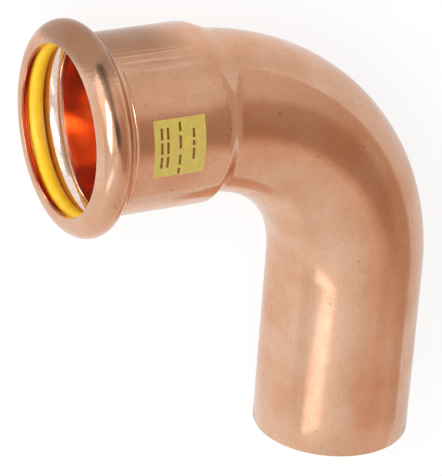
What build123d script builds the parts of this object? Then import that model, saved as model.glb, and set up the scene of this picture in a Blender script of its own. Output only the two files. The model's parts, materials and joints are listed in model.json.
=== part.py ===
"""Copper 90 degree pipe bend: a press socket with its rubber seal at one end, a plain spigot at the other.

The bend lies as it comes to rest on a flat surface: on the side of its spigot and on the rim of its
socket. The socket points towards -X and a little up, the spigot towards -Y. Lengths are millimetres.
"""

import os
from math import asin, atan2, cos, degrees, hypot, isclose, radians, sin, sqrt

from build123d import *

# The tube and its bend
tube_diameter = 28.0
wall = 1.25
bend_radius = 33.5
bend_angle = 90.0
spigot_length = 32.6
spigot_deburr = 0.3

# The socket, measured from the crossing of the two axes
mouth_distance = 57.8
insertion_depth = 23.7
socket_clearance = 0.3
shoulder_length = 4.1
shoulder_sections = 6
valley_radius = 1.8
lip_radial_gap = 0.7
lip_edge_radius = 0.1

# The seal ring and the hollow bead that holds it
ring_section_diameter = 2.9
ring_radial_gap = 0.2
ring_seat_gap = 0.2

# Radii that follow
tube_radius = tube_diameter / 2
bore_radius = tube_radius + socket_clearance
socket_radius = bore_radius + wall
lip_radius = tube_radius + lip_radial_gap
ring_section_radius = ring_section_diameter / 2
ring_radius = tube_radius + ring_radial_gap + ring_section_radius
groove_section_radius = ring_section_radius + ring_seat_gap
bead_section_radius = groove_section_radius + wall

# Distances from the crossing of the axes, along the socket
bead_distance = mouth_distance - bead_section_radius
stop_distance = mouth_distance - insertion_depth
valley_centre_radius = socket_radius + valley_radius
valley_reach = bead_section_radius + valley_radius
valley_run = sqrt(valley_reach**2 - (valley_centre_radius - ring_radius) ** 2)
valley_distance = bead_distance - valley_run

# How the bend lies: its spigot and the rim of its bead both touch the surface below
rest_tilt = degrees(
    atan2(ring_radius, bead_distance)
    - asin((tube_radius - bead_section_radius) / hypot(bead_distance, ring_radius))
)
tilt_cos = cos(radians(rest_tilt))
tilt_sin = sin(radians(rest_tilt))
bead_radius = ring_radius + bead_section_radius
socket_reach = bead_distance * tilt_cos + ring_radius * tilt_sin + bead_section_radius
spigot_reach = bend_radius + spigot_length

# The origin is under the middle of the lying bend, on the surface below it
crossing = Vector((socket_reach - tube_radius) / 2, (spigot_reach - bead_radius) / 2, tube_radius)
away_from_socket = Vector(tilt_cos, 0, -tilt_sin)
across_the_bend = Vector(tilt_sin, 0, tilt_cos)
bend_plane = Plane(origin=crossing, x_dir=away_from_socket, z_dir=across_the_bend)
socket_axis = Axis(crossing, away_from_socket)


def on_valley(section_radius):
    """The point, along the socket and out from its axis, where the bead's arc meets the valley's."""
    share = section_radius / valley_reach
    along = bead_distance - valley_run * share
    out = ring_radius + (valley_centre_radius - ring_radius) * share
    return along, out


def valley_arc(section_radius, arc_radius):
    """The hollow arc that runs from the straight wall of the socket up to the bead."""
    along, out = on_valley(section_radius)
    turn = degrees(atan2(along - valley_distance, valley_centre_radius - out))
    return CenterArc((-valley_distance, valley_centre_radius), arc_radius, 270 - turn, turn)


def bead_arc(section_radius):
    """The arc from the valley over the crown of the bead to its front."""
    along, out = on_valley(section_radius)
    start = degrees(atan2(out - ring_radius, bead_distance - along))
    return CenterArc((-bead_distance, ring_radius), section_radius, start, 180 - start)


def centreline_plane(distance):
    """The plane across the centreline of the tube, on the socket's side of the bend.

    The distance is from the crossing of the axes, and round the bend it is laid off along the arc.
    """
    into_bend = max(0.0, bend_radius - distance)
    turn = into_bend / bend_radius
    straight = max(distance, bend_radius)
    along = -straight + bend_radius * sin(turn)
    down = -bend_radius * (1 - cos(turn))
    origin = bend_plane.from_local_coords(Vector(along, down, 0))
    tangent = away_from_socket * cos(turn) + Vector(0, -1, 0) * sin(turn)
    return Plane(origin=origin, x_dir=across_the_bend, z_dir=tangent)


def shoulder_radius(share):
    """The outer radius of the shoulder, easing from the socket's to the tube's."""
    ease = share * share * (3 - 2 * share)
    return socket_radius + (tube_radius - socket_radius) * ease


# The bend, its socket and its spigot are one formed length of tube
with BuildPart() as bend_body:
    # The socket's wall is one closed outline, turned about the socket's axis
    with BuildSketch(bend_plane):
        with BuildLine():
            valley_arc(bead_section_radius, valley_radius)
            bead_arc(bead_section_radius)
            valley_arc(groove_section_radius, valley_radius + wall)
            bead_arc(groove_section_radius)
            Line((-stop_distance, socket_radius), (-valley_distance, socket_radius))
            Line((-mouth_distance, ring_radius), (-mouth_distance, lip_radius))
            Line((-mouth_distance, lip_radius), (wall - mouth_distance, lip_radius))
            Line((wall - mouth_distance, lip_radius), (wall - mouth_distance, ring_radius))
            Line((-valley_distance, bore_radius), (-stop_distance, bore_radius))
            Line((-stop_distance, bore_radius), (-stop_distance, socket_radius))
        make_face()
    revolve(axis=socket_axis)

    # The shoulder narrows the socket to the tube along the start of the bend
    for inset, mode in ((0, Mode.ADD), (wall, Mode.SUBTRACT)):
        for step in range(shoulder_sections + 1):
            share = step / shoulder_sections
            with BuildSketch(centreline_plane(stop_distance - share * shoulder_length)):
                Circle(shoulder_radius(share) - inset)
        loft(mode=mode)

    # The rest of the bend and the spigot keep one section
    shoulder_end = centreline_plane(stop_distance - shoulder_length)
    shoulder_turn = degrees((bend_radius - stop_distance + shoulder_length) / bend_radius)
    bend_centre = (-bend_radius, -bend_radius)
    with BuildLine(bend_plane) as route:
        arc = CenterArc(bend_centre, bend_radius, 90 - shoulder_turn, shoulder_turn - bend_angle)
        Line(arc @ 1, arc @ 1 + (arc % 1) * spigot_length)
    with BuildSketch(shoulder_end):
        Circle(tube_radius)
        Circle(tube_radius - wall, mode=Mode.SUBTRACT)
    sweep(path=route.line)

    # The cut end of the spigot is lightly deburred
    spigot_edges = bend_body.edges().group_by(Axis.Y)[0]
    chamfer(spigot_edges, spigot_deburr)

    # The lip's two edges are rounded
    round_edges = bend_body.edges().filter_by(GeomType.CIRCLE)
    lip_edges = round_edges.filter_by(lambda edge: isclose(edge.radius, lip_radius, abs_tol=1e-4))
    fillet(lip_edges, lip_edge_radius)
bend_body.part.label = "bend_body"

# The rubber ring sits in the hollow of the bead, and stands a little into the socket
with BuildPart() as seal_ring:
    with BuildSketch(bend_plane):
        with Locations((-bead_distance, ring_radius)):
            Circle(ring_section_radius)
    revolve(axis=socket_axis)
seal_ring.part.label = "seal_ring"

os.makedirs("parts", exist_ok=True)
export_step(bend_body.part, "parts/bend_body.step")
export_step(seal_ring.part, "parts/seal_ring.step")
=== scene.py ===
import json
from math import acos, atan2, cos, pi, radians, sin, sqrt

import bpy
from mathutils import Matrix, Vector


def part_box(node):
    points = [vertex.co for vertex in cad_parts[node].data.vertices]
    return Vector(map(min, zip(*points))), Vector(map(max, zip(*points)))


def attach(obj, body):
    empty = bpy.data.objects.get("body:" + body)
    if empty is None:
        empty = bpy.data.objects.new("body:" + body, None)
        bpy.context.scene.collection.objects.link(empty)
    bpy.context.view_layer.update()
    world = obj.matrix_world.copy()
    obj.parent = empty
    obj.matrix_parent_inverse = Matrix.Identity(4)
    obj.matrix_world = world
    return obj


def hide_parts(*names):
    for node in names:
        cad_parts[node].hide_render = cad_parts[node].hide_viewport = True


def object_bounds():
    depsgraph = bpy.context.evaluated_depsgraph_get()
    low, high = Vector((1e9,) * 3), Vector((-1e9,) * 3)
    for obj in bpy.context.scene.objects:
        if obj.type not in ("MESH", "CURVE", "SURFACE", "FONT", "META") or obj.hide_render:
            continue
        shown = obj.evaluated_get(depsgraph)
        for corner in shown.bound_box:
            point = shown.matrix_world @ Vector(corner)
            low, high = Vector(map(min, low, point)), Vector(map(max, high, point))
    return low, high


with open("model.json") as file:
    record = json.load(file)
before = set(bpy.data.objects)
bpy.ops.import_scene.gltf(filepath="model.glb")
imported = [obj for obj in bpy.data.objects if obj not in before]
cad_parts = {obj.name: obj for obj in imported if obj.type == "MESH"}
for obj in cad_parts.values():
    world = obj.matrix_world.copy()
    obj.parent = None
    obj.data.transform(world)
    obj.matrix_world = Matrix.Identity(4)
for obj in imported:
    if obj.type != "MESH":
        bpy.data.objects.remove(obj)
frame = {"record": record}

mm = 0.001
slack = 0.01                    # mm, allowed where a place is found by its coordinates
smoothAngle = radians(35)
noiseLow, noiseHigh = 0.3, 0.7  # most of a noise's values lie between these
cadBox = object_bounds()


def recordMount(name):
    return next(mount for mount in frame["record"]["mounts"] if mount["name"] == name)


# Both axes come from the record's mounts, and the tube's corner is where they cross
socketMount = recordMount("socket")
spigotMount = recordMount("spigot")
mouthWard = Vector(socketMount["axis"]).normalized()
spigotWard = Vector(spigotMount["axis"]).normalized()
acrossBend = mouthWard.cross(spigotWard).normalized()
spigotRadius = spigotMount["dims"]["r_mm"]
boreRadius = socketMount["dims"]["r_mm"]
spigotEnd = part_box("bend_body")[0].y
corner = Vector(spigotMount["pos_m"])
corner.y = socketMount["pos_m"][1]
layOver = Matrix((-mouthWard, -spigotWard, acrossBend)).transposed().to_4x4()
layOver.translation = corner


def linear(hexColour):
    channels = [int(hexColour[i:i + 2], 16) / 255 for i in (1, 3, 5)]
    return tuple(c / 12.92 if c <= 0.04045 else ((c + 0.055) / 1.055) ** 2.4 for c in channels) + (1.0,)


def addNode(tree, kind, settings=None, inputs=None):
    node = tree.nodes.new(kind)
    for name, value in (settings or {}).items():
        setattr(node, name, value)
    for name, value in (inputs or {}).items():
        if isinstance(value, bpy.types.NodeSocket):
            tree.links.new(value, node.inputs[name])
        else:
            node.inputs[name].default_value = value
    return node


def newMaterial(name):
    material = bpy.data.materials.new(name)
    material.use_nodes = True
    material.node_tree.nodes.clear()
    return material, material.node_tree


def clearSelection():
    if bpy.context.object and bpy.context.object.mode != "OBJECT":
        bpy.ops.object.mode_set(mode="OBJECT")
    bpy.ops.object.select_all(action="DESELECT")


def namePiece(name):
    piece = bpy.context.object
    piece.name = name
    piece.data.name = name
    return piece


def applyAll(piece):
    for modifier in list(piece.modifiers):
        bpy.ops.object.modifier_apply(modifier=modifier.name)


def pickVertices(piece, wanted):
    bpy.ops.object.mode_set(mode="OBJECT")
    for part in (piece.data.vertices, piece.data.edges, piece.data.polygons):
        part.foreach_set("select", [False] * len(part))
    for vertex in piece.data.vertices:
        vertex.select = wanted(vertex.co)
    bpy.ops.object.mode_set(mode="EDIT")
    bpy.ops.mesh.select_mode(type="VERT")


# The copper bend, one formed length of tube, modelled straight and then bent
bendSettings = {
    "wall": 1.25,
    "bendRadius": 33.5,
    "mouth": 57.8,             # from the corner, along the socket
    "socketEnd": 34.1,
    "shoulder": 4.1,
    "beadSection": 2.9,
    "valley": 1.8,
    "lipRadius": 14.7,
    "ringRadius": 15.65,
    "lipEdge": 0.1,
    "lipEdgeSegments": 3,
    "spigotEdge": 0.3,
    "spigotEdgeSegments": 2,
    "flareDeeper": 0.35,       # how far the flare inside lies deeper than the valley outside
    "flarePastRidge": 0.9,     # the middle of what moves deeper, and its reach and fade to each side
    "flareReach": 1.5,
    "flareFade": 2.0,
    "ridgeAlong": 50.55,       # the fine ridge that the rolling tool leaves at the foot of the valley
    "ridgeHeight": 0.12,
    "ridgeHalfWidth": 0.22,
    "ridgeShape": ((0.5, 0.7), (0, 1), (-0.5, 0.7), (-1, 0), (-2, 0)),   # shares of half width and height
    "around": 160,
    "beadRings": 24,
    "valleyRings": 10,
    "socketRings": 5,
    "shoulderRings": 8,
    "bendRings": 44,
    "spigotRings": 6,
    "flattenedInside": 0.032,  # share of the radius that bending takes off, at the middle of the bend
    "flattenedOutside": 0.011,
}


def tubeStations(s):
    # Distance along the straight tube and radius, from the lip to the spigot's end; the bend starts at 0
    socketRadius = boreRadius + s["wall"]
    beadAlong = s["mouth"] - s["beadSection"]
    valleyCentre = socketRadius + s["valley"]
    run = sqrt((s["beadSection"] + s["valley"]) ** 2 - (valleyCentre - s["ringRadius"]) ** 2)
    lean = atan2(valleyCentre - s["ringRadius"], run)
    valleyEnd = beadAlong - run
    stations = [(s["mouth"], s["lipRadius"]), (s["mouth"], s["ringRadius"])]
    for step in range(1, s["beadRings"] + 1):
        turn = (pi - lean) * step / s["beadRings"]
        radius = s["ringRadius"] + s["beadSection"] * sin(turn)
        stations.append((beadAlong + s["beadSection"] * cos(turn), radius))
    ridgeStart = s["ridgeAlong"] + s["ridgeHalfWidth"]
    lastTurn = acos((ridgeStart - valleyEnd) / s["valley"])
    for step in range(1, s["valleyRings"] + 1):
        turn = lean + (lastTurn - lean) * step / s["valleyRings"]
        stations.append((valleyEnd + s["valley"] * cos(turn), valleyCentre - s["valley"] * sin(turn)))
    for offset, rise in s["ridgeShape"]:
        along = s["ridgeAlong"] + s["ridgeHalfWidth"] * offset
        stations.append((along, socketRadius + s["ridgeHeight"] * rise))
    last = stations[-1][0]
    for step in range(1, s["socketRings"] + 1):
        stations.append((last + (s["socketEnd"] - last) * step / s["socketRings"], socketRadius))
    stations = [(s["bendRadius"] - along, radius) for along, radius in stations]
    start = s["bendRadius"] - s["socketEnd"]
    for step in range(1, s["shoulderRings"] + 1):
        share = step / s["shoulderRings"]
        ease = share * share * (3 - 2 * share)
        radius = socketRadius + (spigotRadius - socketRadius) * ease
        stations.append((start + s["shoulder"] * share, radius))
    bendEnd = s["bendRadius"] * pi / 2
    here = stations[-1][0]
    for step in range(1, s["bendRings"] + 1):
        stations.append((here + (bendEnd - here) * step / s["bendRings"], spigotRadius))
    spigotLength = (corner.y - spigotEnd) / mm - s["bendRadius"]
    for step in range(1, s["spigotRings"] + 1):
        stations.append((bendEnd + spigotLength * step / s["spigotRings"], spigotRadius))
    return stations


def makeBend(s):
    stations = tubeStations(s)
    mouth, lip = stations[0]
    end = stations[-1][0]
    clearSelection()
    bpy.ops.mesh.primitive_circle_add(vertices=s["around"], radius=lip * mm, rotation=(0, pi / 2, 0))
    piece = namePiece("copper_bend")
    bpy.ops.object.transform_apply()
    bpy.ops.object.mode_set(mode="EDIT")
    bpy.ops.mesh.select_all(action="SELECT")
    bpy.ops.transform.translate(value=(mouth * mm, 0, 0))
    for (x0, r0), (x1, r1) in zip(stations, stations[1:]):
        bpy.ops.mesh.extrude_edges_move(TRANSFORM_OT_translate={"value": ((x1 - x0) * mm, 0, 0)})
        bpy.ops.transform.resize(value=(1, r1 / r0, r1 / r0), center_override=(x1 * mm, 0, 0))
    bpy.ops.mesh.select_all(action="SELECT")
    bpy.ops.mesh.normals_make_consistent(inside=False)

    # Bending flattens the tube a little, more on the inside of the bend than on the outside
    bendLength = s["bendRadius"] * pi / 2
    squeeze = (s["flattenedInside"] + s["flattenedOutside"]) / 2
    shift = (s["flattenedInside"] - s["flattenedOutside"]) / 2 * spigotRadius
    for x in [x for x, radius in stations if 0 < x < bendLength - slack]:
        share = sin(pi * x / bendLength)
        pickVertices(piece, lambda co: abs(co.x - x * mm) < 0.1 * slack * mm)
        bpy.ops.transform.resize(value=(1, 1 - squeeze * share, 1), center_override=(x * mm, 0, 0))
        bpy.ops.transform.translate(value=(0, shift * share * mm, 0))
    bpy.ops.object.mode_set(mode="OBJECT")

    piece.data.materials.append(copperMaterial("satinCopper", copperSettings))
    piece.data.materials.append(copperMaterial("boreCopper", boreSettings))
    wall = piece.modifiers.new("Wall", "SOLIDIFY")
    wall.thickness = s["wall"] * mm
    wall.offset = -1
    wall.use_even_offset = True
    wall.material_offset = 1
    applyAll(piece)

    # The second half of the points is the inner wall
    flare = s["bendRadius"] - s["ridgeAlong"] - s["flarePastRidge"]
    for vertex in piece.data.vertices[len(piece.data.vertices) // 2:]:
        past = abs(vertex.co.x / mm - flare) - s["flareReach"]
        if past < s["flareFade"]:
            ease = (1 + cos(pi * max(past, 0) / s["flareFade"])) / 2
            vertex.co.x += s["flareDeeper"] * ease * mm

    lipEnd = (mouth + s["wall"] + slack) * mm
    lipReach = (lip + slack) * mm
    pickVertices(piece, lambda co: co.x < lipEnd and co.yz.length < lipReach)
    bpy.ops.mesh.select_mode(type="EDGE")
    bpy.ops.mesh.bevel(offset=s["lipEdge"] * mm, segments=s["lipEdgeSegments"], affect="EDGES")
    pickVertices(piece, lambda co: co.x > (end - slack) * mm)
    bpy.ops.mesh.select_mode(type="EDGE")
    bpy.ops.mesh.bevel(offset=s["spigotEdge"] * mm, segments=s["spigotEdgeSegments"], affect="EDGES")
    bpy.ops.object.mode_set(mode="OBJECT")

    # The straight tube's own coordinates stay on the mesh, so that the draw marks follow the bend
    straight = piece.data.attributes.new("straightTube", "FLOAT_VECTOR", "POINT")
    for vertex, value in zip(piece.data.vertices, straight.data):
        value.vector = vertex.co

    low = min(vertex.co.x for vertex in piece.data.vertices)
    high = max(vertex.co.x for vertex in piece.data.vertices)
    bending = piece.modifiers.new("Bend", "SIMPLE_DEFORM")
    bending.deform_method = "BEND"
    bending.deform_axis = "Z"
    bending.angle = -pi / 2
    bending.limits = (-low / (high - low), (bendLength * mm - low) / (high - low))
    applyAll(piece)
    piece.data.transform(Matrix.Translation((-s["bendRadius"] * mm, 0, 0)))
    piece.data.transform(layOver)
    bpy.ops.object.shade_smooth_by_angle(angle=smoothAngle)
    return piece


# Drawn copper tube, bright after pickling: soft long reflections, broken by draw marks, grain and pits.
# Sizes and heights are in mm, and distances along the socket are from the corner
copperSettings = {
    "colour": "#E9BC9F",
    "warmCloud": "#DFA784",
    "cloudSize": 11.0,
    "cloudFrom": 0.38,
    "cloudTo": 0.68,
    "waveSize": 8.0,
    "waveHeight": 0.040,
    "drawLength": 16.0,
    "drawWidth": 0.35,
    "drawHeight": 0.0010,
    "grainSize": 0.42,         # real grain is finer, but this is as fine as the picture shows
    "grainHeight": 0.0009,
    "fleck": "#B98262",
    "fleckDrawn": 0.35,        # how much of the flecks' pattern comes from the draw marks
    "fleckFrom": 0.68,
    "fleckTo": 1.0,
    "fleckMost": 0.4,
    "pit": "#8A5840",
    "pitSpacing": 2.4,
    "pitSize": 0.30,
    "pitFloor": 0.3,           # share of the pit's size that lies at its full depth
    "pitDepth": 0.006,
    "pitsLeftOut": 0.72,       # share of the places for a pit that have none
    "pitStain": 0.6,
    "ringSize": 0.32,          # marks of the rolling tool, round the socket's foot and behind the bead
    "ringHeight": 0.0020,
    "ringFrom": 46.5,
    "ringTo": 53.0,
    "ringFade": 1.0,
    "tarnish": "#8E6347",      # painted dark reflection, on the side of the socket that lies outside in the bend
    "tarnishMost": 0.75,
    "tarnishStreaks": 3.0,     # how far the draw marks move its edge
    "tarnishFrom": 0.90,       # share of the bore's radius
    "tarnishFull": 1.1,        # past the bore's radius
    "tarnishEnd": 34.0,
    "tarnishWhole": 44.0,
    "smooth": 0.12,
    "rough": 0.20,
}
# The same tube inside: on the rolled flare a pale colour is painted on as a highlight, and deeper in a
# redder colour is painted shade, added to the red that light going from wall to wall gives
boreSettings = dict(
    copperSettings,
    # The pale colours are a painted highlight on the flare
    colour="#F8E2D8", warmCloud="#F0D0C2", smooth=0.10, rough=0.16,
    # Painted shade: the redder colour deep in the bore
    deepColour="#F0A876", deepFrom=49.9, deepFade=0.4,
    lipFrom=55.4, lipFade=0.8, lipDeep=0.1,     # a little of the deep painted shade lies on the lip too
    oxide=0.03,                                 # how much less metallic the deep part is
    drawWidth=0.8, ringSize=0.5, ringHeight=0.0030, ringFrom=5.0, ringTo=57.8)


def copperMaterial(name, s):
    material, tree = newMaterial(name)
    bendStart = bendSettings["bendRadius"]
    tube = addNode(tree, "ShaderNodeAttribute", {"attribute_name": "straightTube"})
    place = addNode(tree, "ShaderNodeVectorMath", {"operation": "SCALE"}, {
        "Vector": tube.outputs["Vector"], "Scale": 1 / mm}).outputs[0]
    along = addNode(tree, "ShaderNodeSeparateXYZ", inputs={0: place}).outputs["X"]
    stretch = (1 / s["drawLength"], 1 / s["drawWidth"], 1 / s["drawWidth"])
    drawn = addNode(tree, "ShaderNodeVectorMath", {"operation": "MULTIPLY"}, {
        0: place, 1: stretch}).outputs[0]
    drawMarks = addNode(tree, "ShaderNodeTexNoise", inputs={
        "Vector": drawn, "Scale": 1.0, "Detail": 4.0}).outputs["Fac"]
    clouds = addNode(tree, "ShaderNodeTexNoise", inputs={
        "Vector": place, "Scale": 1 / s["cloudSize"], "Detail": 4.0, "Roughness": 0.6}).outputs["Fac"]
    waves = addNode(tree, "ShaderNodeTexNoise", inputs={
        "Vector": place, "Scale": 1 / s["waveSize"], "Detail": 1.0}).outputs["Fac"]
    grain = addNode(tree, "ShaderNodeTexNoise", inputs={
        "Vector": place, "Scale": 1 / s["grainSize"], "Detail": 2.0, "Roughness": 0.6}).outputs["Fac"]
    cells = addNode(tree, "ShaderNodeTexVoronoi", inputs={"Vector": place, "Scale": 1 / s["pitSpacing"]})
    pits = addNode(tree, "ShaderNodeMapRange", {"interpolation_type": "SMOOTHSTEP"}, {
        "Value": cells.outputs["Distance"], "From Min": s["pitSize"] / s["pitSpacing"],
        "From Max": s["pitFloor"] * s["pitSize"] / s["pitSpacing"]}).outputs[0]
    some = addNode(tree, "ShaderNodeSeparateXYZ", inputs={0: cells.outputs["Color"]}).outputs["X"]
    some = addNode(tree, "ShaderNodeMath", {"operation": "GREATER_THAN"}, {
        0: some, 1: s["pitsLeftOut"]}).outputs[0]
    pits = addNode(tree, "ShaderNodeMath", {"operation": "MULTIPLY"}, {0: pits, 1: some}).outputs[0]

    # Ring marks depend on the distance along the tube alone, and only where a tool ran round it
    ringPlace = addNode(tree, "ShaderNodeMath", {"operation": "DIVIDE"}, {
        0: along, 1: s["ringSize"]}).outputs[0]
    rings = addNode(tree, "ShaderNodeTexNoise", {"noise_dimensions": "1D"}, {
        "W": ringPlace, "Scale": 1.0, "Detail": 2.0}).outputs["Fac"]
    ringMiddle = bendStart - (s["ringFrom"] + s["ringTo"]) / 2
    ringReach = (s["ringTo"] - s["ringFrom"]) / 2
    away = addNode(tree, "ShaderNodeMath", {"operation": "SUBTRACT"}, {
        0: along, 1: ringMiddle}).outputs[0]
    away = addNode(tree, "ShaderNodeMath", {"operation": "ABSOLUTE"}, {0: away}).outputs[0]
    ringed = addNode(tree, "ShaderNodeMapRange", inputs={
        "Value": away, "From Min": ringReach + s["ringFade"],
        "From Max": ringReach - s["ringFade"]}).outputs[0]
    rings = addNode(tree, "ShaderNodeMath", {"operation": "MULTIPLY"}, {0: rings, 1: ringed}).outputs[0]

    height = addNode(tree, "ShaderNodeMath", {"operation": "MULTIPLY"}, {
        0: pits, 1: -s["pitDepth"]}).outputs[0]
    for layer, size in ((waves, "waveHeight"), (drawMarks, "drawHeight"), (grain, "grainHeight"),
                        (rings, "ringHeight")):
        height = addNode(tree, "ShaderNodeMath", {"operation": "MULTIPLY_ADD"}, {
            0: layer, 1: s[size], 2: height}).outputs[0]
    bump = addNode(tree, "ShaderNodeBump", inputs={"Height": height, "Distance": mm, "Strength": 1.0})

    cloudMask = addNode(tree, "ShaderNodeMapRange", inputs={
        "Value": clouds, "From Min": s["cloudFrom"], "From Max": s["cloudTo"]}).outputs[0]
    colour = addNode(tree, "ShaderNodeMixRGB", inputs={
        0: cloudMask, 1: linear(s["colour"]), 2: linear(s["warmCloud"])}).outputs[0]
    metallic = 1.0
    # In the bore: the pale painted highlight on the flare gives way to the redder painted shade deeper in,
    # and a little of that shade lies on the lip
    if "deepColour" in s:
        deepStart = bendStart - s["deepFrom"]
        depth = addNode(tree, "ShaderNodeMapRange", inputs={
            "Value": along, "From Min": deepStart, "From Max": deepStart + s["deepFade"]}).outputs[0]
        lipStart = bendStart - s["lipFrom"]
        lip = addNode(tree, "ShaderNodeMapRange", inputs={
            "Value": along, "From Min": lipStart, "From Max": lipStart - s["lipFade"],
            "To Max": s["lipDeep"]}).outputs[0]
        depth = addNode(tree, "ShaderNodeMath", {"operation": "MAXIMUM"}, {0: depth, 1: lip}).outputs[0]
        colour = addNode(tree, "ShaderNodeMixRGB", inputs={
            0: depth, 1: colour, 2: linear(s["deepColour"])}).outputs[0]
        metallic = addNode(tree, "ShaderNodeMapRange", inputs={
            "Value": depth, "To Min": 1.0, "To Max": 1 - s["oxide"]}).outputs[0]
    else:
        # Painted dark reflection: a darker band, streaked by the draw marks, along the socket's outer side
        outer = addNode(tree, "ShaderNodeSeparateXYZ", inputs={0: place}).outputs["Y"]
        streaky = addNode(tree, "ShaderNodeMath", {"operation": "MULTIPLY_ADD"}, {
            0: drawMarks, 1: s["tarnishStreaks"], 2: outer}).outputs[0]
        outer = addNode(tree, "ShaderNodeMapRange", {"interpolation_type": "SMOOTHSTEP"}, {
            "Value": streaky, "From Min": boreRadius * s["tarnishFrom"] + s["tarnishStreaks"] / 2,
            "From Max": boreRadius + s["tarnishFull"] + s["tarnishStreaks"] / 2}).outputs[0]
        onSocket = addNode(tree, "ShaderNodeMapRange", {"interpolation_type": "SMOOTHSTEP"}, {
            "Value": along, "From Min": bendStart - s["tarnishEnd"],
            "From Max": bendStart - s["tarnishWhole"]}).outputs[0]
        for share in (onSocket, s["tarnishMost"]):
            outer = addNode(tree, "ShaderNodeMath", {"operation": "MULTIPLY"}, {
                0: outer, 1: share}).outputs[0]
        colour = addNode(tree, "ShaderNodeMixRGB", inputs={
            0: outer, 1: colour, 2: linear(s["tarnish"])}).outputs[0]
    flecks = addNode(tree, "ShaderNodeMath", {"operation": "MULTIPLY_ADD"}, {
        0: drawMarks, 1: s["fleckDrawn"], 2: grain}).outputs[0]
    flecks = addNode(tree, "ShaderNodeMapRange", inputs={
        "Value": flecks, "From Min": s["fleckFrom"], "From Max": s["fleckTo"],
        "To Max": s["fleckMost"]}).outputs[0]
    colour = addNode(tree, "ShaderNodeMixRGB", inputs={
        0: flecks, 1: colour, 2: linear(s["fleck"])}).outputs[0]
    stained = addNode(tree, "ShaderNodeMath", {"operation": "MULTIPLY"}, {
        0: pits, 1: s["pitStain"]}).outputs[0]
    colour = addNode(tree, "ShaderNodeMixRGB", inputs={
        0: stained, 1: colour, 2: linear(s["pit"])}).outputs[0]
    roughness = addNode(tree, "ShaderNodeMapRange", inputs={
        "Value": clouds, "From Min": noiseLow, "From Max": noiseHigh,
        "To Min": s["smooth"], "To Max": s["rough"]}).outputs[0]
    shader = addNode(tree, "ShaderNodeBsdfPrincipled", inputs={
        "Base Color": colour, "Metallic": metallic, "Roughness": roughness, "Normal": bump.outputs[0]})
    addNode(tree, "ShaderNodeOutputMaterial", inputs={"Surface": shader.outputs["BSDF"]})
    return material


bend = makeBend(bendSettings)
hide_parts("bend_body")
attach(bend, "root")
print("copper bend:", len(bend.data.vertices), "points")


# The seal ring, which lies in the hollow of the bead
ringSettings = {
    "section": 1.45,
    "radius": bendSettings["ringRadius"],
    "along": bendSettings["mouth"] - bendSettings["beadSection"],   # from the corner, along the socket
    "around": 160,
    "sectionPoints": 32,
}


def makeRing(s):
    clearSelection()
    bpy.ops.mesh.primitive_circle_add(vertices=s["sectionPoints"], radius=s["section"] * mm)
    piece = namePiece("rubber_seal_ring")
    bpy.ops.object.mode_set(mode="EDIT")
    bpy.ops.mesh.select_all(action="SELECT")
    bpy.ops.transform.translate(value=(-s["along"] * mm, s["radius"] * mm, 0))
    bpy.ops.mesh.spin(steps=s["around"], angle=2 * pi, center=(0, 0, 0), axis=(1, 0, 0))
    bpy.ops.mesh.select_all(action="SELECT")
    bpy.ops.mesh.remove_doubles(threshold=0.1 * slack * mm)
    bpy.ops.mesh.normals_make_consistent(inside=False)
    bpy.ops.object.mode_set(mode="OBJECT")
    piece.data.transform(layOver)
    bpy.ops.object.shade_smooth()
    return piece


# Moulded yellow rubber, lightly greased: an even colour with a soft sheen and a fine grain
rubberSettings = {
    "colour": "#FFD62E",
    "shaded": "#F5C21E",
    "cloudSize": 4.0,          # sizes and heights in mm
    "cloudFrom": 0.4,
    "cloudTo": 0.8,
    "grainSize": 0.3,
    "grainHeight": 0.002,
    "roughness": 0.36,
}


def rubberMaterial(name, s):
    material, tree = newMaterial(name)
    place = addNode(tree, "ShaderNodeTexCoord").outputs["Object"]
    clouds = addNode(tree, "ShaderNodeTexNoise", inputs={
        "Vector": place, "Scale": 1 / (s["cloudSize"] * mm), "Detail": 3.0}).outputs["Fac"]
    grain = addNode(tree, "ShaderNodeTexNoise", inputs={
        "Vector": place, "Scale": 1 / (s["grainSize"] * mm), "Detail": 2.0}).outputs["Fac"]
    mask = addNode(tree, "ShaderNodeMapRange", inputs={
        "Value": clouds, "From Min": s["cloudFrom"], "From Max": s["cloudTo"]}).outputs[0]
    colour = addNode(tree, "ShaderNodeMixRGB", inputs={
        0: mask, 1: linear(s["colour"]), 2: linear(s["shaded"])})
    height = addNode(tree, "ShaderNodeMath", {"operation": "MULTIPLY"}, {
        0: grain, 1: s["grainHeight"]}).outputs[0]
    bump = addNode(tree, "ShaderNodeBump", inputs={"Height": height, "Distance": mm, "Strength": 1.0})
    shader = addNode(tree, "ShaderNodeBsdfPrincipled", inputs={
        "Base Color": colour.outputs[0], "Roughness": s["roughness"], "Normal": bump.outputs[0]})
    addNode(tree, "ShaderNodeOutputMaterial", inputs={"Surface": shader.outputs["BSDF"]})
    return material


ring = makeRing(ringSettings)
ring.data.materials.append(rubberMaterial("yellowRubber", rubberSettings))
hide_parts("seal_ring")
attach(ring, "root")
print("seal ring:", len(ring.data.vertices), "points")


# The printed field on the socket: a film of ink with plain dashes where the print runs
printSettings = {
    "thickness": 0.03,
    "nearMouth": 47.6,         # from the corner, along the socket
    "farFromMouth": 38.15,
    "highEdge": 24.0,          # degrees round the socket, from the top of its side
    "lowEdge": -13.2,
    "cell": 0.225,
    "rows": (                  # from the mouth's side, in shares of the field: start, width, dashes' ends
        (0.13, 0.045, ((0.17, 0.38), (0.42, 0.62), (0.66, 0.86))),
        (0.24, 0.045, ((0.17, 0.38), (0.42, 0.62), (0.66, 0.86))),
        (0.47, 0.05, ((0.02, 0.14), (0.19, 0.38), (0.50, 0.72), (0.78, 0.94))),
        (0.73, 0.05, ((0.27, 0.47), (0.52, 0.60), (0.65, 0.80))),
    ),
}


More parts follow.
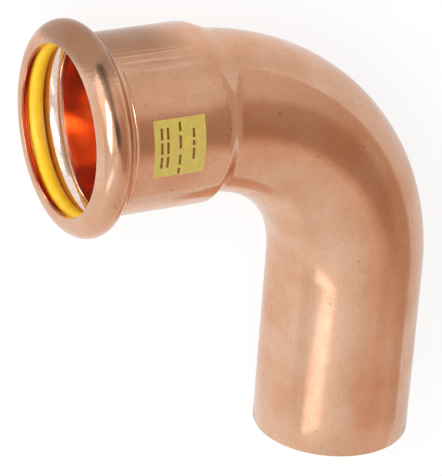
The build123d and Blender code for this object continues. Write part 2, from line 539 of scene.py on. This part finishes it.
def makePrint(s):
    radius = boreRadius + bendSettings["wall"]
    length = s["nearMouth"] - s["farFromMouth"]
    turn = radians(s["highEdge"] - s["lowEdge"])
    lengthCells = round(length / s["cell"])
    turnCells = round(turn * radius / s["cell"])
    clearSelection()
    bpy.ops.mesh.primitive_plane_add(size=length * mm)
    piece = namePiece("printed_field")
    pickVertices(piece, lambda co: co.y < 0)
    bpy.ops.mesh.delete(type="VERT")
    bpy.ops.mesh.select_all(action="SELECT")
    bpy.ops.mesh.subdivide(number_cuts=lengthCells - 1)
    middle = (s["nearMouth"] + s["farFromMouth"]) / 2
    bpy.ops.transform.translate(value=(-middle * mm, -length / 2 * mm, radius * mm))
    bpy.ops.transform.rotate(value=radians(s["lowEdge"]), orient_axis="X", center_override=(0, 0, 0))
    bpy.ops.mesh.spin(steps=turnCells, angle=turn, center=(0, 0, 0), axis=(1, 0, 0))
    bpy.ops.mesh.select_all(action="SELECT")
    bpy.ops.mesh.flip_normals()
    bpy.ops.object.mode_set(mode="OBJECT")
    piece.data.materials.append(inkMaterial("oliveInk", oliveInkSettings))
    piece.data.materials.append(inkMaterial("brownInk", brownInkSettings))
    for face in piece.data.polygons:
        at = face.center / mm
        across = (s["nearMouth"] + at.x) / length
        up = (atan2(at.y, at.z) - radians(s["lowEdge"])) / turn
        for start, width, dashes in s["rows"]:
            if start < across < start + width and any(low < up < high for low, high in dashes):
                face.material_index = 1
    film = piece.modifiers.new("Film", "SOLIDIFY")
    film.thickness = s["thickness"] * mm
    film.offset = 1
    applyAll(piece)
    piece.data.transform(layOver)
    bpy.ops.object.shade_smooth_by_angle(angle=smoothAngle)
    return piece


# Ink rolled on thin: it lies a little unevenly, and the copper's grain shows in it
oliveInkSettings = {
    "colour": "#CBB95C",
    "bright": "#D6C94E",
    "warm": "#CFA866",
    "mottleSize": 1.3,         # sizes and heights in mm
    "brightFrom": 0.5,
    "brightTo": 0.7,
    "warmFrom": 0.5,
    "warmTo": 0.72,
    "grainSize": 0.4,
    "grainHeight": 0.004,
    "roughness": 0.42,
}
brownInkSettings = dict(oliveInkSettings, colour="#7C4D22", bright="#6A3D1A", warm="#94622E")


def inkMaterial(name, s):
    material, tree = newMaterial(name)
    place = addNode(tree, "ShaderNodeTexCoord").outputs["Object"]
    mottle = addNode(tree, "ShaderNodeTexNoise", inputs={
        "Vector": place, "Scale": 1 / (s["mottleSize"] * mm), "Detail": 3.0}).outputs["Fac"]
    grain = addNode(tree, "ShaderNodeTexNoise", inputs={
        "Vector": place, "Scale": 1 / (s["grainSize"] * mm), "Detail": 2.0}).outputs["Fac"]
    brightMask = addNode(tree, "ShaderNodeMapRange", inputs={
        "Value": mottle, "From Min": s["brightFrom"], "From Max": s["brightTo"]}).outputs[0]
    colour = addNode(tree, "ShaderNodeMixRGB", inputs={
        0: brightMask, 1: linear(s["colour"]), 2: linear(s["bright"])}).outputs[0]
    warmMask = addNode(tree, "ShaderNodeMapRange", inputs={
        "Value": grain, "From Min": s["warmFrom"], "From Max": s["warmTo"]}).outputs[0]
    colour = addNode(tree, "ShaderNodeMixRGB", inputs={
        0: warmMask, 1: colour, 2: linear(s["warm"])}).outputs[0]
    height = addNode(tree, "ShaderNodeMath", {"operation": "MULTIPLY"}, {
        0: grain, 1: s["grainHeight"]}).outputs[0]
    bump = addNode(tree, "ShaderNodeBump", inputs={"Height": height, "Distance": mm, "Strength": 1.0})
    shader = addNode(tree, "ShaderNodeBsdfPrincipled", inputs={
        "Base Color": colour, "Roughness": s["roughness"], "Normal": bump.outputs[0]})
    addNode(tree, "ShaderNodeOutputMaterial", inputs={"Surface": shader.outputs["BSDF"]})
    return material


printedField = makePrint(printSettings)
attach(printedField, "root")
print("printed field:", len(printedField.data.vertices), "points")


# The room: a pale floor, softly lit walls and dimmer places in them, all mirrored in the copper
print("stage")
stageSettings = {
    "floorSize": 6.0,
    "floorColour": "#F4F4F2",
    "floorShade": "#7A7A7A",   # the part of the floor's white that can fall into shadow
    "floorGlow": 0.84,
    "glowInMetal": 0.75,
    "horizon": 0.95,           # the room is pale at eye level all round, up to a low slope
    "horizonFrom": 0.015,
    "horizonTo": 0.04,
    "walls": (                 # above that, the walls round the room: azimuth, brightness, warmth
        (-180, 0.25, 0), (-160, 0.45, 0), (-145, 0.80, 0), (-80, 0.72, 0), (-62, 0.84, 0), (-45, 0.98, 0),
        (-28, 0.86, 0), (0, 0.80, 0.3), (30, 0.73, 0.8), (57, 0.74, 1), (62, 0.56, 1.3), (76, 0.52, 1.3),
        (95, 0.54, 1.3), (120, 0.62, 1.1), (150, 0.78, 0.5), (165, 0.50, 0),
    ),
    # Dimmer places on the walls and the ceiling: azimuth, elevation, width of the middle and of all,
    # in degrees, then brightness and warmth
    "dimPlaces": (
        (88, 48, 38, 62, 0.76, 0.7),
        (150, 72, 16, 42, 0.20, 0.0),
    ),
    "farFloor": 0.82,          # share of its brightness that the floor keeps on the far side, in the metal
    "farFloorFrom": 0.0,       # m
    "farFloorTo": 0.06,
}


def skyward(azimuth, elevation):
    azimuth, elevation = radians(azimuth), radians(elevation)
    return Vector((sin(azimuth) * cos(elevation), -cos(azimuth) * cos(elevation), sin(elevation)))


def warmLight(level, warmth):
    # A warmth of 1 adds a little red, and takes away green and more blue
    return tuple(level * (1 + tint * warmth) for tint in (0.05, -0.14, -0.26)) + (1.0,)


def roomRamp(tree, value, stops):
    # A ramp over values from 0 to 1: place, brightness, warmth
    ramp = addNode(tree, "ShaderNodeValToRGB", inputs={0: value})
    elements = ramp.color_ramp.elements
    for place, level, warmth in stops:
        elements.new(place).color = warmLight(level, warmth)
    elements.remove(elements[0])
    elements.remove(elements[-1])
    return ramp.outputs["Color"]


def addStage(s):
    clearSelection()
    bpy.ops.mesh.primitive_plane_add(size=s["floorSize"])
    floor = namePiece("floor")
    material, tree = newMaterial("palePaper")
    path = addNode(tree, "ShaderNodeLightPath")
    seen = addNode(tree, "ShaderNodeMath", {"operation": "MAXIMUM"}, {
        0: path.outputs["Is Camera Ray"], 1: path.outputs["Is Glossy Ray"]})
    where = addNode(tree, "ShaderNodeTexCoord").outputs["Object"]
    where = addNode(tree, "ShaderNodeSeparateXYZ", inputs={0: where}).outputs["X"]
    far = addNode(tree, "ShaderNodeMapRange", {"interpolation_type": "SMOOTHSTEP"}, {
        "Value": where, "From Min": s["farFloorFrom"], "From Max": s["farFloorTo"],
        "To Min": s["glowInMetal"], "To Max": s["glowInMetal"] * s["farFloor"]})
    level = addNode(tree, "ShaderNodeMapRange", inputs={
        "Value": path.outputs["Is Camera Ray"], "To Min": far.outputs[0], "To Max": s["floorGlow"]})
    matt = addNode(tree, "ShaderNodeBsdfDiffuse", inputs={"Color": linear(s["floorColour"])})
    shade = addNode(tree, "ShaderNodeBsdfDiffuse", inputs={"Color": linear(s["floorShade"])})
    glow = addNode(tree, "ShaderNodeEmission", inputs={"Strength": level.outputs[0]})
    both = addNode(tree, "ShaderNodeAddShader", inputs={0: shade.outputs[0], 1: glow.outputs[0]})
    mix = addNode(tree, "ShaderNodeMixShader", inputs={
        0: seen.outputs[0], 1: matt.outputs[0], 2: both.outputs[0]})
    addNode(tree, "ShaderNodeOutputMaterial", inputs={"Surface": mix.outputs[0]})
    floor.data.materials.append(material)

    world = bpy.data.worlds.new("softRoom")
    bpy.context.scene.world = world
    world.use_nodes = True
    tree = world.node_tree
    tree.nodes.clear()
    towards = addNode(tree, "ShaderNodeTexCoord").outputs["Generated"]
    height = addNode(tree, "ShaderNodeSeparateXYZ", inputs={0: towards}).outputs["Z"]
    around = addNode(tree, "ShaderNodeTexGradient", {"gradient_type": "RADIAL"}, {
        0: towards}).outputs["Fac"]
    stops = sorted(((azimuth + 90) % 360 / 360, level, warmth) for azimuth, level, warmth in s["walls"])
    seam = (stops[0][1] + stops[-1][1]) / 2
    room = roomRamp(tree, around, [(0.0, seam, 0)] + stops + [(1.0, seam, 0)])
    for azimuth, elevation, middle, whole, brightness, warmth in s["dimPlaces"]:
        near = addNode(tree, "ShaderNodeVectorMath", {"operation": "DOT_PRODUCT"}, {
            0: towards, 1: skyward(azimuth, elevation)}).outputs["Value"]
        dim = addNode(tree, "ShaderNodeMapRange", {"interpolation_type": "SMOOTHSTEP"}, {
            "Value": near, "From Min": cos(radians(whole / 2)),
            "From Max": cos(radians(middle / 2))}).outputs[0]
        tint = addNode(tree, "ShaderNodeMixRGB", inputs={
            0: dim, 1: (1, 1, 1, 1), 2: warmLight(brightness, warmth)}).outputs[0]
        room = addNode(tree, "ShaderNodeMixRGB", {"blend_type": "MULTIPLY"}, {
            0: 1.0, 1: room, 2: tint}).outputs[0]
    above = addNode(tree, "ShaderNodeMapRange", inputs={
        "Value": height, "From Min": s["horizonFrom"], "From Max": s["horizonTo"]}).outputs[0]
    pale = (s["horizon"], s["horizon"], s["horizon"], 1)
    sky = addNode(tree, "ShaderNodeMixRGB", inputs={0: above, 1: pale, 2: room}).outputs[0]
    glow = addNode(tree, "ShaderNodeBackground", inputs={"Color": sky, "Strength": 1.0})
    addNode(tree, "ShaderNodeOutputWorld", inputs={"Surface": glow.outputs[0]})


addStage(stageSettings)

# Soft boxes a metre from the object: azimuth 0 stands on the spigot's side and -90 on the mouth's
lampDistance = 1.0
softboxes = {
    "keyLamp": {"azimuth": -114, "elevation": 42, "width": 0.72, "height": 0.38, "level": 5.5},
    "mouthLamp": {"azimuth": -124, "elevation": 13, "width": 0.80, "height": 0.40, "level": 0.5},
    "stripLamp": {"azimuth": -53, "elevation": 36, "width": 0.13, "height": 0.60, "level": 0.75},
}

# The lamp hidden in the bend shines out to the mouth, and gives the bore its bright patches
boreLampSettings = {
    "alongSocket": 21.0,       # mm from the corner
    "alongSpigot": 0.5,
    "size": 13.0,
    "level": 4.5,
}


def addLamp(name, place, back, shape, width, height, level):
    bpy.ops.object.light_add(type="AREA", location=place, rotation=back.to_track_quat("Z", "Y").to_euler())
    lamp = bpy.context.object
    lamp.name = name
    lamp.data.shape = shape
    lamp.data.size = width
    lamp.data.size_y = height
    face = width * height * (pi / 4 if shape == "DISK" else 1)
    lamp.data.energy = pi * face * level     # the lamp's face is then as bright as its level
    lamp.visible_camera = False


for name, s in softboxes.items():
    outward = skyward(s["azimuth"], s["elevation"])
    place = Vector((0, 0, cadBox[1][2] / 2)) + outward * lampDistance
    addLamp(name, place, outward, "RECTANGLE", s["width"], s["height"], s["level"])
s = boreLampSettings
place = corner + (mouthWard * s["alongSocket"] + spigotWard * s["alongSpigot"]) * mm
addLamp("boreLamp", place, -mouthWard, "DISK", s["size"] * mm, s["size"] * mm, s["level"])

cameraSettings = {
    "aim": (-3.397, -0.739, 17.341),   # mm
    "distance": 583.25,
    "azimuth": -139.504,       # 0 looks along +Y
    "elevation": 54.8205,
    "roll": 138.008,
    "lens": 254.88,
    "sensorWidth": 36,
    "clipStart": 0.01,         # m
}


def addCamera(s):
    back = skyward(s["azimuth"], s["elevation"])
    place = (Vector(s["aim"]) + back * s["distance"]) * mm
    turn = back.to_track_quat("Z", "Y").to_matrix() @ Matrix.Rotation(radians(s["roll"]), 3, "Z")
    bpy.ops.object.camera_add(location=place, rotation=turn.to_euler())
    camera = bpy.context.object
    camera.data.sensor_width = s["sensorWidth"]
    camera.data.lens = s["lens"]
    camera.data.clip_start = s["clipStart"]
    bpy.context.scene.camera = camera


addCamera(cameraSettings)
print("lamps and camera")
bpy.context.scene.view_settings.view_transform = "Standard"
bpy.context.scene.cycles.glossy_bounces = 16     # in the bore, light goes from wall to wall many times
bpy.context.scene.cycles.max_bounces = 20
